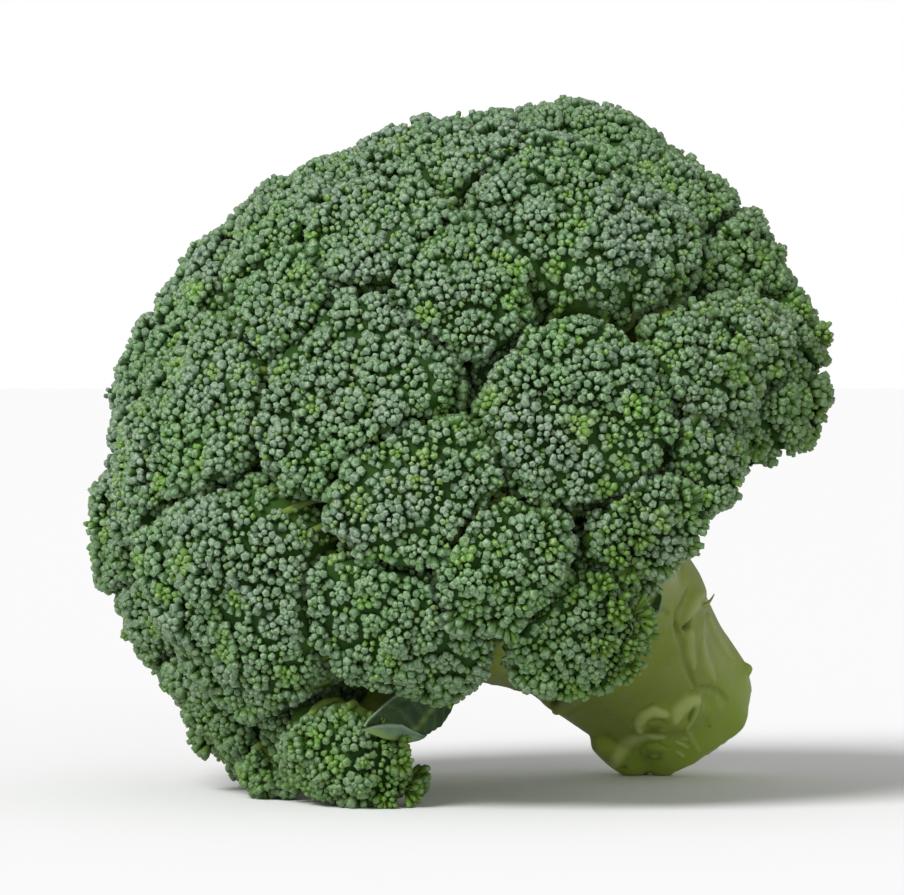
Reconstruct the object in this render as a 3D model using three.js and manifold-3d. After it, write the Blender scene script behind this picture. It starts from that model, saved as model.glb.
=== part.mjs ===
// A head of broccoli, cut with a short stalk and lying on its side.
// Lengths are millimetres and angles are degrees, with +Z up. The head is described upright, with
// its cut end on the origin and its stalk along +Z, and is then laid down on three low florets
// and the edge of its cut end.
import * as THREE from "three";
import { ConvexHull } from "three/addons/math/ConvexHull.js";
import { mergeVertices } from "three/addons/utils/BufferGeometryUtils.js";
import Module from "manifold-3d";

// How the head lies
const stalkLean = 53.5; // the stalk's tilt away from upright
const stalkHeading = 233.5; // the compass turn of the crown, from +X towards +Y
const floorDepth = 14.4; // how far the floor lies under the cut end's centre
const groundSize = 400; // comfortably wider than the head

// The stalk
const crownHeight = 106; // the middle of the crown's bed above the cut end
const trunkOutline = [
  // radius, height
  [16.5, 0],
  [19.3, 2.5],
  [20.2, 9],
  [21, 20],
  [23, 31],
  [25.4, 42],
  [26, 54],
  [22, 68],
  [12, 80],
];
const trunkSides = 24;
const trunkRidges = 3; // long low swellings that run up the trunk
const ridgeHeight = 0.7;
const ridgeTwist = 28; // how far up the trunk a swelling turns by one radian
const forkLow = 34; // where the lowest branches leave the trunk's middle
const forkHigh = 66; // where the topmost ones do
const limbReach = 38; // how far from the middle of the bed a limb divides into twigs
const limbRoot = 11; // a limb's radius where it leaves the trunk
const limbEnd = 8.5; // and where it divides
const limbBend = 0.12; // a limb's upward bow, as a share of its length
const limbSides = 9;
const limbSteps = 3;
const twigRoot = 0.34; // a twig's radius at its root, as a share of its floret's radius
const twigTip = 0.44; // and at its tip
const twigBend = 0.5; // the share of a twig that has turned to face its floret
const twigSides = 6;
const twigSteps = 2;

// The scars of cut side shoots: turn, height up the trunk, radius and rise. Each is a button that
// flares to its foot, with a sunken middle.
const scars = [
  [32, 25, 4, 1.4],
  [51, 21, 4.4, 1.8],
  [15, 15, 3.6, 1.3],
  [12, 5, 3.4, 1.1],
  [116, 8.5, 3, 1.2],
  [90, 41, 3.6, 1.3],
  [-3, 43, 4.6, 1],
  [-120, 27, 4.2, 1.3],
  [-165, 38, 3.8, 1.2],
];
const scarSides = 10;
const scarRoot = 4; // how deep a scar's foot is sunk
const scarFoot = 1.3; // these are shares of its radius
const scarLip = 0.7;
const scarHollow = 0.45;
const hollowLevel = 0.3; // and this one of its rise

// The small leaves: base, tip, half width, the share of it that is a narrow neck, how far the
// lower edge folds over, and steps along
const leaves = {
  leaf: {
    base: [50, 8.5, 85.6],
    tip: [88.4, 17.5, 127.8],
    halfWidth: 5,
    neck: 0.35,
    fold: 4.5,
    steps: 9,
  },
  bract: {
    base: [11, 27.5, 56],
    tip: [8, 32.4, 72.9],
    halfWidth: 3,
    neck: 0.1,
    fold: 1,
    steps: 5,
  },
};
const leafThickness = 0.8;
const neckWidth = 1.6;
const leafRound = 0.7; // how blunt a leaf's outline is
const leafDroop = 1.5;
const leafWave = 0.5; // the height of the waves along its edges
const leafWaves = 1.4;

// The florets' relief: each knob is one small umbel of flower buds
const knobSpacing = 7.2;
const knobRise = 0.6;
const knobSink = 0.7;
const swellSpacing = 15; // the broader swellings that the umbels gather into
const swellDepth = 2.2;
const swellMean = 0.6; // how much of that depth stands out of the floret's own radius
const innerSkirt = 0.6; // how much wider a floret spreads at its foot, among its neighbours
const rimSkirt = 0.15; // and along the rim, where it hangs free
const rimLeans = [50, 80]; // the leans between which one passes into the other
const skirtAngle = 100; // how far round a floret its foot is
const knobAngle = 112; // how far round it the knobs reach
const tuckAngles = [78, 150]; // where its dome begins and ends to turn in underneath
const creaseSoftness = 0.7;
const underside = 0.56; // depth of a floret's underside, as a share of its radius
const press = 1.6; // florets this close to the floor lie flat on it
const gap = 0.3; // between florets, and between florets and stalk
const plainStep = 4; // parts that face another floret keep one point in this many

// The limbs that the trunk divides into: the turn about the stalk, the lean away from it and the
// thickness as a share of the common one.
const limbs = [
  [0, 0, 1],
  [36, 42, 1],
  [108, 42, 1],
  [180, 42, 1],
  [-108, 42, 1],
  [-36, 42, 1],
  [2, 106, 1.75],
  [46, 88, 1.1],
  [86, 94, 1.6],
  [130, 84, 1.1],
  [175, 84, 1],
  [-138, 84, 1],
  [-94, 88, 1.1],
  [-46, 90, 1.2],
];

// Every floret's middle, seen from the middle of the crown's bed: the turn about the stalk, the
// lean away from it, the reach, and the floret's own radius. At turn 0 the crown meets the floor.
const florets = [
  // on top of the crown
  [132, 9, 69.2, 15],
  [36, 22, 62, 22.1],
  [87, 25, 75.5, 11],
  [128.2, 46.4, 62.6, 25.4],
  [155, 35, 70.6, 14],
  [-165, 38, 66.2, 17.4],
  [-120, 46, 68.2, 16],
  [-93, 37, 69.4, 15.4],
  [-39, 31, 69.8, 16.6],
  [-11, 8, 71.5, 12.8],
  [-122, 20, 71, 12],
  // round the side that looks up and to the front
  [72.2, 58.9, 70.1, 19],
  [36, 49, 74, 15],
  [42, 62, 78, 13.4],
  [95, 69, 78.6, 12.8],
  [163, 69, 72.5, 19.4],
  [141, 69, 76, 13],
  [105, 76, 81.8, 10.4],
  [97, 86, 65, 10],
  // round the side that looks down
  [-16, 61, 63.3, 26.4],
  [19, 65, 68.6, 18.2],
  [-56, 53, 76.8, 12.4],
  [-57.6, 70.8, 83.6, 13.3],
  [-82, 55, 77.4, 12.4],
  [-48, 78, 82.6, 12],
  // along the rim
  [131, 84, 74, 15.4],
  [116, 88, 82.2, 8.8],
  [103, 88, 78.4, 10.8],
  [80, 75, 79.4, 10.7],
  [68, 72, 80.5, 12],
  [46, 81, 76.6, 14],
  [1, 88, 84, 15.4],
  [-18, 95, 90, 8.8],
  [-34, 90, 78, 16.4],
  [-38, 110, 86, 14],
  [-58, 98, 82.7, 16.8],
  [-78, 88, 87, 17],
  [-98, 82, 86, 17],
  [-122, 78, 77, 18.5],
  [-148, 82, 75, 19],
  [-178, 92, 76, 17],
  [150, 94, 73, 16.1],
  [-88, 108, 80, 15],
  [-130, 104, 78, 16],
  [128, 100, 75, 9.4],
  [-168, 64, 71, 13],
  [-142, 58, 72, 14],
  [-104, 62, 74.6, 15.3],
  [168, 110, 74, 14],
  // deep in the creases between the larger ones
  [72, 33, 50, 12.5],
  [-34, 39, 61.5, 14.5],
  [128, 77, 65.4, 13.5],
  [159, 31, 64.3, 13.5],
  [-115, 7, 63.2, 8],
  [-10, 88, 66.8, 12],
  [57, 79, 59.4, 10],
];

const wasm = await Module();
wasm.setup();

const radians = THREE.MathUtils.degToRad;
const up = new THREE.Vector3(0, 0, 1);
const floorWay = new THREE.Vector3(
  Math.cos(radians(90 - stalkLean)),
  0,
  -Math.sin(radians(90 - stalkLean)),
);

// A point at a turn and lean round another one.
function away(middle, turn, lean, reach) {
  const across = Math.sin(radians(lean)) * reach;
  return new THREE.Vector3(
    middle.x + across * Math.cos(radians(turn)),
    middle.y + across * Math.sin(radians(turn)),
    middle.z + Math.cos(radians(lean)) * reach,
  );
}

// Even directions over a sphere, spiralling out from one pole.
function spiral(count, pole) {
  const golden = Math.PI * (3 - Math.sqrt(5));
  const turn = new THREE.Quaternion().setFromUnitVectors(up, pole);
  const directions = [];
  for (let i = 0; i < count; i += 1) {
    const z = 1 - (2 * i + 1) / count;
    const across = Math.sqrt(1 - z * z);
    directions.push(
      new THREE.Vector3(across * Math.cos(i * golden), across * Math.sin(i * golden), z)
        .applyQuaternion(turn),
    );
  }
  return directions;
}

// How many points cover a sphere in a triangular pattern of this spacing.
function cover(radius, spacing) {
  const cell = (Math.sqrt(3) / 2) * spacing ** 2;
  return Math.max(12, Math.round((4 * Math.PI * radius ** 2) / cell));
}

// The triangles that join directions into one closed net, as triples of their indices.
function net(directions) {
  const hull = new ConvexHull().setFromPoints(directions);
  const order = new Map(directions.map((direction, i) => [direction, i]));
  return hull.faces.map((face) => [
    order.get(face.edge.tail().point),
    order.get(face.edge.head().point),
    order.get(face.edge.next.head().point),
  ]);
}

// A closed geometry from points and triples of their indices.
function closed(points, triangles) {
  const geometry = new THREE.BufferGeometry().setFromPoints(points);
  geometry.setIndex(triangles.flat());
  return geometry;
}

function solid(geometry) {
  const plain = geometry.clone();
  plain.deleteAttribute("normal");
  plain.deleteAttribute("uv");
  const merged = mergeVertices(plain, 1e-4);
  return new wasm.Manifold(
    new wasm.Mesh({
      numProp: 3,
      vertProperties: new Float32Array(merged.attributes.position.array),
      triVerts: new Uint32Array(merged.index.array),
    }),
  );
}

function geometryOf(manifold) {
  const mesh = manifold.getMesh();
  const geometry = new THREE.BufferGeometry();
  geometry.setAttribute("position", new THREE.BufferAttribute(mesh.vertProperties, 3));
  geometry.setIndex(new THREE.BufferAttribute(mesh.triVerts, 1));
  return geometry.toNonIndexed();
}

// The largest of the bodies that a cut leaves.
function largest(manifold) {
  const bodies = manifold.decompose();
  return bodies.reduce((best, body) => (body.volume() > best.volume() ? body : best));
}

// Each limb as the way it points, its fork from the trunk's middle and its end.
const bed = new THREE.Vector3(0, 0, crownHeight);
const arms = limbs.map(([turn, lean, thickness]) => {
  const fork = new THREE.Vector3(0, 0, THREE.MathUtils.lerp(forkHigh, forkLow, lean / 90));
  const way = away(new THREE.Vector3(), turn, lean, 1);
  return { way, thickness, fork, end: away(bed, turn, lean, limbReach) };
});

// Each floret as a centre, a radius and the way it faces, out from the end of the nearest limb.
const balls = florets.map(([turn, lean, reach, radius]) => {
  const way = away(new THREE.Vector3(), turn, lean, 1);
  const nearer = (best, arm) => (arm.way.angleTo(way) < best.way.angleTo(way) ? arm : best);
  const root = arms.reduce(nearer).end;
  const centre = away(bed, turn, lean, reach);
  const facing = centre.clone().sub(root).normalize().add(way).normalize();
  const free = THREE.MathUtils.smoothstep(lean, ...rimLeans);
  const skirt = THREE.MathUtils.lerp(innerSkirt, rimSkirt, free);
  const swells = spiral(cover(radius, swellSpacing), facing);
  return { centre, radius, root, facing, skirt, swells };
});

// The planes that keep a floret off its neighbours and off the floor.
function wallsOf(ball) {
  const walls = [{ way: floorWay, distance: floorDepth - ball.centre.dot(floorWay) }];
  for (const other of balls) {
    const way = other.centre.clone().sub(ball.centre);
    const apart = way.length();
    if (other === ball || apart > (ball.radius + other.radius) * (1 + innerSkirt)) continue;
    const share = (apart ** 2 + ball.radius ** 2 - other.radius ** 2) / (2 * apart);
    if (share < 1) throw new Error(`floret ${balls.indexOf(ball) + 1} is swallowed`);
    walls.push({ way: way.divideScalar(apart), distance: share - gap / 2 });
  }
  return walls;
}

// How far a floret's swollen dome reaches in a direction, before anything cuts it off.
function domeReach(ball, direction) {
  const angle = THREE.MathUtils.radToDeg(direction.angleTo(ball.facing));
  const under = THREE.MathUtils.smoothstep(angle, ...tuckAngles);
  let swell = 0;
  for (const middle of ball.swells) {
    const off = (direction.angleTo(middle) * ball.radius) / (swellSpacing / 2);
    swell = Math.max(swell, Math.exp(-(off ** 2)));
  }
  const relief = swellDepth * (swell + swellMean - 1) * (1 - under);
  const spread = 1 + ball.skirt * Math.sin(radians(Math.min(angle, skirtAngle))) ** 2;
  return ball.radius * THREE.MathUtils.lerp(spread, underside, under) + relief;
}

function wallReach(walls, direction) {
  let reach = Infinity;
  for (const { way, distance } of walls) {
    const facing = direction.dot(way);
    if (facing > 1e-6) reach = Math.min(reach, distance / facing);
  }
  return reach;
}

// The lesser of two reaches, with the corner between them rounded off.
function softLeast(a, b) {
  const least = Math.min(a, b);
  const most = Math.max(a, b);
  return least - creaseSoftness * Math.log(1 + Math.exp((least - most) / creaseSoftness));
}

// One floret: a knobbly dome on its flatter underside. Each knob is a raised middle in a ring of
// sunken corners, and parts that face another floret are plain. Grown a little all round, the
// same shape is the room that it needs in the stalk.
function floretGeometry(ball, growth = 0) {
  const walls = wallsOf(ball);
  const middles = spiral(cover(ball.radius, knobSpacing), ball.facing);
  const open = middles.map((direction) => {
    const seen = direction.angleTo(ball.facing) < radians(knobAngle);
    return seen && domeReach(ball, direction) < wallReach(walls, direction) - gap;
  });
  const vertices = [];
  const beside = new Set();
  for (const triple of net(middles)) {
    if (triple.filter((i) => open[i]).length < 2) continue;
    triple.forEach((i) => beside.add(i));
    const corner = new THREE.Vector3();
    triple.forEach((i) => corner.add(middles[i]));
    vertices.push({ direction: corner.normalize(), relief: -knobSink });
  }
  middles.forEach((direction, i) => {
    if (open[i]) vertices.push({ direction, relief: knobRise });
    else if (beside.has(i) || i % plainStep === 0) vertices.push({ direction, relief: 0 });
  });
  const points = vertices.map(({ direction, relief }) => {
    const most = wallReach(walls, direction);
    let reach = softLeast(domeReach(ball, direction), most) + relief;
    if (reach > wallReach(walls.slice(0, 1), direction) - press) reach = most;
    return direction.clone().multiplyScalar(Math.min(reach, most) + growth).add(ball.centre);
  });
  return closed(points, net(vertices.map(({ direction }) => direction)));
}

// A tube through rings of points, closed by a fan at each end.
function loft(rings) {
  const sides = rings[0].length;
  const points = rings.flat();
  const ends = [rings[0], rings[rings.length - 1]].map((ring) =>
    ring.reduce((sum, point) => sum.add(point), new THREE.Vector3()).divideScalar(sides),
  );
  const triangles = [];
  const last = (rings.length - 1) * sides;
  for (let side = 0; side < sides; side += 1) {
    const next = (side + 1) % sides;
    for (let ring = 0; ring < rings.length - 1; ring += 1) {
      const low = ring * sides;
      const high = low + sides;
      triangles.push([low + side, low + next, high + next]);
      triangles.push([low + side, high + next, high + side]);
    }
    triangles.push([points.length, next, side]);
    triangles.push([points.length + 1, last + side, last + next]);
  }
  return closed([...points, ...ends], triangles);
}

// The trunk: round, with a few long swellings that turn slowly about it.
function trunk() {
  const rings = trunkOutline.map(([radius, height]) =>
    Array.from({ length: trunkSides }, (_, side) => {
      const turn = (side / trunkSides) * 2 * Math.PI;
      const ridge = ridgeHeight * Math.cos(trunkRidges * turn + height / ridgeTwist);
      const across = radius + ridge;
      return new THREE.Vector3(across * Math.cos(turn), across * Math.sin(turn), height);
    }),
  );
  return solid(loft(rings));
}

// A round stem that tapers along a curved route.
function stem(route, root, tip, sides, steps) {
  const frames = route.computeFrenetFrames(steps);
  const rings = [];
  for (let step = 0; step <= steps; step += 1) {
    const middle = route.getPoint(step / steps);
    const radius = THREE.MathUtils.lerp(root, tip, step / steps);
    rings.push(
      Array.from({ length: sides }, (_, side) => {
        const turn = (side / sides) * 2 * Math.PI;
        return middle
          .clone()
          .addScaledVector(frames.normals[step], radius * Math.cos(turn))
          .addScaledVector(frames.binormals[step], radius * Math.sin(turn));
      }),
    );
  }
  return solid(loft(rings));
}

// A limb leaves the trunk upward and bends out.
function limb({ fork, end, thickness }) {
  const bend = fork.clone().lerp(end, 0.5);
  bend.z += limbBend * end.distanceTo(fork);
  const route = new THREE.QuadraticBezierCurve3(fork, bend, end);
  return stem(route, limbRoot * thickness, limbEnd * thickness, limbSides, limbSteps);
}

// A twig widens towards its floret and ends just under it.
function twig({ root, centre, radius, facing }) {
  const tip = centre.clone().addScaledVector(facing, -underside * radius - 2 * gap);
  const bend = tip.clone().addScaledVector(facing, -twigBend * tip.distanceTo(root));
  const route = new THREE.QuadraticBezierCurve3(root, bend, tip);
  return stem(route, twigRoot * radius, twigTip * radius, twigSides, twigSteps);
}

// A low dished button where a side shoot was cut away.
function scar([turn, height, radius, rise]) {
  const outline = [
    [0, -scarRoot],
    [scarFoot * radius, -scarRoot],
    [scarFoot * radius, 0],
    [radius, rise],
    [scarLip * radius, rise],
    [scarHollow * radius, hollowLevel * rise],
    [0, hollowLevel * rise],
  ];
  const points = outline.map(([across, level]) => new THREE.Vector2(across, level));
  const below = trunkOutline.findLast((ring) => ring[1] <= height);
  const above = trunkOutline.find((ring) => ring[1] > height);
  const share = (height - below[1]) / (above[1] - below[1]);
  const reach = THREE.MathUtils.lerp(below[0], above[0], share);
  const button = new THREE.LatheGeometry(points, scarSides);
  button.rotateZ(-Math.PI / 2);
  button.translate(reach, 0, 0);
  button.rotateZ(radians(turn));
  button.translate(0, 0, height);
  return solid(button);
}

// Half the width of a leaf at a share of its length: a narrow neck, then the blade.
function leafHalf({ halfWidth, neck }, share) {
  const blade = Math.max(0, (share - neck) / (1 - neck));
  return Math.max(neckWidth * (1 - blade), halfWidth * Math.sin(Math.PI * blade) ** leafRound, 0.5);
}

// A thin arched blade on its neck, whose lower edge folds over. Grown a little on every side, it
// is the room that it needs in the stalk.
function leafGeometry(leaf, growth = 0) {
  const from = new THREE.Vector3(...leaf.base);
  const along = new THREE.Vector3(...leaf.tip).sub(from);
  const across = floorWay.clone().addScaledVector(along, -floorWay.dot(along) / along.lengthSq());
  across.normalize();
  const face = across.clone().cross(along).normalize();
  const half = leafThickness / 2 + growth;
  const columns = [-1, -0.5, 0, 0.5, 1];
  const rings = [];
  for (let step = 0; step <= leaf.steps; step += 1) {
    const share = step / leaf.steps;
    const width = leafHalf(leaf, share);
    const wave = leafWave * Math.sin(share * leafWaves * 2 * Math.PI);
    const stretch = (growth / along.length()) * (2 * share - 1);
    const spot = (column, side) => {
      const fold = leaf.fold * (width / leaf.halfWidth) * Math.max(0, column) ** 2;
      const lift = wave * Math.abs(column) - fold - leafDroop * share ** 2 + side * half;
      return from
        .clone()
        .addScaledVector(along, share + stretch)
        .addScaledVector(across, (width + growth) * column)
        .addScaledVector(face, lift);
    };
    const front = columns.map((column) => spot(column, 1));
    const back = columns.map((column) => spot(-column, -1));
    rings.push([...front, ...back]);
  }
  return loft(rings);
}

// Everything under the floor, which flattens what the head lies on.
function ground() {
  const slab = new THREE.BoxGeometry(groundSize, groundSize, groundSize);
  slab.applyQuaternion(new THREE.Quaternion().setFromUnitVectors(up, floorWay));
  slab.translate(...floorWay.clone().multiplyScalar(floorDepth + groundSize / 2).toArray());
  return solid(slab);
}

function stalkGeometry() {
  const grown = wasm.Manifold.union([
    trunk(),
    ...scars.map(scar),
    ...arms.map(limb),
    ...balls.map(twig),
  ]);
  const rooms = wasm.Manifold.union([
    ground(),
    ...balls.map((ball) => solid(floretGeometry(ball, gap))),
    ...Object.values(leaves).map((leaf) => solid(leafGeometry(leaf, gap))),
  ]);
  return geometryOf(largest(grown.subtract(rooms)));
}

const floretGreen = new THREE.MeshStandardMaterial({
  color: 0x5a7d54,
  roughness: 0.75,
  metalness: 0,
});
const stalkGreen = new THREE.MeshStandardMaterial({
  color: 0x8ea557,
  roughness: 0.5,
  metalness: 0,
});
const leafGreen = new THREE.MeshStandardMaterial({
  color: 0x35572f,
  roughness: 0.6,
  metalness: 0,
});

function named(name, geometry, material) {
  geometry.computeVertexNormals();
  const mesh = new THREE.Mesh(geometry, material);
  mesh.name = name;
  return mesh;
}

const head = new THREE.Group();
head.rotation.set(0, radians(stalkLean), radians(stalkHeading), "ZYX");
head.add(named("stalk", stalkGeometry(), stalkGreen));
for (const [name, leaf] of Object.entries(leaves)) {
  head.add(named(name, leafGeometry(leaf), leafGreen));
}
balls.forEach((ball, i) => {
  const number = String(i + 1).padStart(2, "0");
  head.add(named(`floret_${number}`, floretGeometry(ball), floretGreen));
});

// Stand it centred on the origin, with its lowest points on the floor.
const broccoli = new THREE.Group();
broccoli.add(head);
broccoli.updateMatrixWorld(true);
const box = new THREE.Box3().setFromObject(broccoli, true);
const centre = box.getCenter(new THREE.Vector3());
head.position.set(-centre.x, -centre.y, -box.min.z);

export default broccoli;
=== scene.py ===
from math import cos, pi, radians, sin, sqrt

import bmesh
import bpy
import numpy as np
from mathutils import Matrix, Vector, noise
from mathutils.bvhtree import BVHTree
from mathutils.kdtree import KDTree


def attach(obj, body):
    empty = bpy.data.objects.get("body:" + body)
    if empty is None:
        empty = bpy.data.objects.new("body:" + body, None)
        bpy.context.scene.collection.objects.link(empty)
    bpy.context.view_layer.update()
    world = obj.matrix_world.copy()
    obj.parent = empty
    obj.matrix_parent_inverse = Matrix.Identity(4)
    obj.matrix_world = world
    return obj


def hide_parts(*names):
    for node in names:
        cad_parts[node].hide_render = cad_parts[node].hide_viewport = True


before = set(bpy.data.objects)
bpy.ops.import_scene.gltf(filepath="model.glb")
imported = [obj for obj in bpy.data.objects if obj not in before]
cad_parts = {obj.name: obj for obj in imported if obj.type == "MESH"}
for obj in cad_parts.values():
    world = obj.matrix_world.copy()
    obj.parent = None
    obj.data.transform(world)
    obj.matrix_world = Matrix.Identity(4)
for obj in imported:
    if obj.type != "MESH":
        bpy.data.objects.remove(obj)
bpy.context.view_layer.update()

# Lengths are metres. The head is described upright, with its cut end on the origin and its stalk
# along +Z, and lies as the frame's solids do.
MM = 0.001
STALK_LEAN = radians(53.5)
STALK_HEADING = radians(233.5)
FLOOR_DEPTH = 0.0144  # how far the floor lies under the cut end's centre
FACE_DEPTH = 0.0002  # how far from level the cut face may be
CROWN_HEIGHT = 0.106  # the middle of the crown's bed above the cut end
FLOOR_GAP = 0.0001  # how far above the floor the lowest points stay
RAY_NUDGE = 0.00001  # how far past a surface the next ray starts

# The florets' form
FORM_SOFTNESS = 4  # rounds of smoothing
LEAST_REACH = 0.001  # the least distance from its middle to its surface
KNOB_RISE = 0.0005  # how far a knob of the solid stands out
CROWN_REACH = 0.14  # further from the bed than any floret
CROWN_LEAST = 0.05  # and nearer to it than any
HOLE_ROUNDS = 12  # rounds of smoothing, which make small holes count as crown
SKIN_ROUNDS = 120  # and which stretch the skin over the creases
CREASE_FILL = 0.95  # how much of a shallow crease under the skin is filled
CREASE_LIFT = 0.015  # and about how far the deepest is raised
SWELL_REACH = 0.016  # how wide a gap two florets' sides swell into
SWELL_SHARE = 0.5  # how much of it each fills
SWELL_ROUNDS = 14  # rounds of smoothing
CROWN_WAVES = ((3.4, 0.0016), (7.1, 0.0011))  # the crown's unevenness, in waves and rise
LIFT_END = radians(112)  # how far round a floret it is raised
LIFT_FADE = radians(25)  # and over what angle that fades
FLOOR_FADE = 0.006  # how near to the floor it fades
CLEAR_FADE = (0.006, 0.03)  # nearer to a leaf or the trunk nothing rises or swells, further all does

# Umbels are the small clusters that a floret's buds stand in
UMBEL_SPACING = (0.0056, 0.0082)
UMBEL_REACH = 0.0068  # the furthest that a bud stands from its umbel's middle
UMBEL_EDGE = 0.0036  # where its buds are full grown
UMBEL_SIZES = (0.9, 1.12)
UMBEL_DOME = 0.0018  # how much an umbel's middle stands above its edge
DOME_SHARES = (0.3, 1)
UMBEL_DIMPLE = 0.001  # or lies below it, in a young one
DIMPLE_SHARES = (0.5, 1.2)
UMBEL_ROOT = 0.0038  # how deep the stems of an umbel's buds meet
UMBEL_UNEVEN = 0.0009  # how unevenly high the umbels stand
YOUNG_UMBELS = 0.2  # the share of them that are young
YOUNG_CENTRES = (0.35, 0.75)  # how much of a young umbel is unripe, as a share of its reach
RIPE_CENTRES = (-0.5, 0.1)  # and of a ripe one
RIPENING = 0.4  # the share of its reach over which its buds turn ripe
RIPE_STRAY = 0.15  # and how unevenly they do
STEMS_MEET = 0.6  # how much a bud's stem leans towards where the umbel's stems meet
BUD_SMALL = 0.0012  # a bud's width in an umbel's middle
BUD_LARGE = 0.0023  # and at its edge
BUD_GROWTH = 0.8  # the power by which it widens between them
BUD_AREA = 0.83  # the room that it takes, as a share of its width squared
BUD_SIZES = (0.86, 1.16)
BUD_SIDES = 5
BUD_ODD = (0.9, 1.1)  # how uneven its sides are
BUD_CROWDING = 0.8  # how close two buds stand, as a share of their width
BUD_SINK = 0.0009  # how far the buds' tips lie under the form
BUD_UNEVEN = 0.00032  # how unevenly high they stand
BUD_STRAY = 0.00015  # and how far they stray sideways
ROOT_STRAY = 0.0003
EDGE_STRAY = 0.05  # how uneven the edge of a floret's buds is, in radians
BUD_ROOM = 0.0013  # a bud needs this much room in front of it
ROOM_REACH = 0.006
DOME_ANGLE = radians(116)  # how far round a floret its buds reach
RIM_ANGLE = radians(80)  # where the buds' stems begin to show
CROWN_RIM = (radians(58), radians(105))  # where round the head the buds grow greener
CROWN_GREEN = 1.0  # and how much greener they get

# The buds that fill the gaps between umbels
FILL_WIDTH = 0.0018
FILL_SIZES = (0.8, 1.2)
FILL_SIDES = 4
FILL_SINK = (0.0002, 0.0011)  # how much lower than the others they lie
FILL_LOOSE = 0.2  # and how much lower still at a loose side, as a share of its reach
FILL_RIPE = (0, 0.9)

# A bud's rings, each with its depth under the tip and its radius as shares of the bud's width, the
# most that the depth is of its length, and the height in the bud that its colour goes by
NECK_RING = (1.5, 0.2, 0.85, 0.12)
BUD_RINGS = ((0.7, 0.53, 0.7, 0.5), (0.1, 0.4, 1.0, 1.0))
TIP_HEIGHT = 0.7  # the height that its tip's colour goes by
TIP_POINT = 0.14  # how much a young bud's tip stands out, as a share of its width
TIP_DIMPLE = 0.28  # and how much lower a ripe one's lies

# The stems under the buds
CORE_SINK = 0.0031  # how deep they lie
CORE_GAP = 0.0002  # and where two florets press together
CORE_LOOSE = 0.0015  # the most that it sinks further at a loose side
UNDER_RISE = 0.7  # how much less it sinks on a floret's underside
UNDER_FADE = 0.3  # and over what angle the underside begins, in radians
RIB_LEAN = radians(88)  # umbels beyond this have a stem that shows along the underside
RIB_ROOT = 0.0016
RIB_TIP = 0.001
RIB_STEPS = 5
RIB_SIDES = 4
RIB_SPAN = (0.12, 0.86)  # where it starts and how long it is, of the way round to its umbel
RIB_SINK = (0.0006, 0.002)  # how deep it lies, and how much deeper at its tip
NEARLY_OPPOSITE = pi - 0.01

# The sides where umbels stand free on long stems: the floret, the way that the side faces, how
# wide it is as the least cosine from that way, and the furthest that an umbel stands out
LOOSE_SIDES = {
    "floret_31": ((0.9, -0.35, 0.25), 0.6, 0.0065),
    "floret_32": ((0.9, -0.35, 0.0), 0.62, 0.0025),
    "floret_30": ((-0.2, -0.6, -0.8), 0.72, 0.0025),
    "floret_27": ((0.7, -0.4, 0.5), 0.8, 0.002),
}
LOOSE_RISES = (0.15, 1)  # how far its umbels stand out, as a share of the furthest
LOOSE_STEEP = 2.5  # how steeply that falls off towards the side's edge
LOOSE_ROOT = 0.0028  # how deep their stems meet
LOOSE_MEET = 0.92  # and how much those lean towards that place
LOOSE_SPACING = 1.1  # how much wider apart they stand
LOOSE_EDGE = 0.0046  # how far from an umbel's middle its buds stand
LOOSE_SHARE = 0.8  # the share of those buds that are there
LOOSE_SIZE = 0.8
LOOSE_CENTRES = (0.2, 0.9)
LOOSE_GREEN = 0.002  # how far out an umbel stands whose buds are all green

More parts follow.
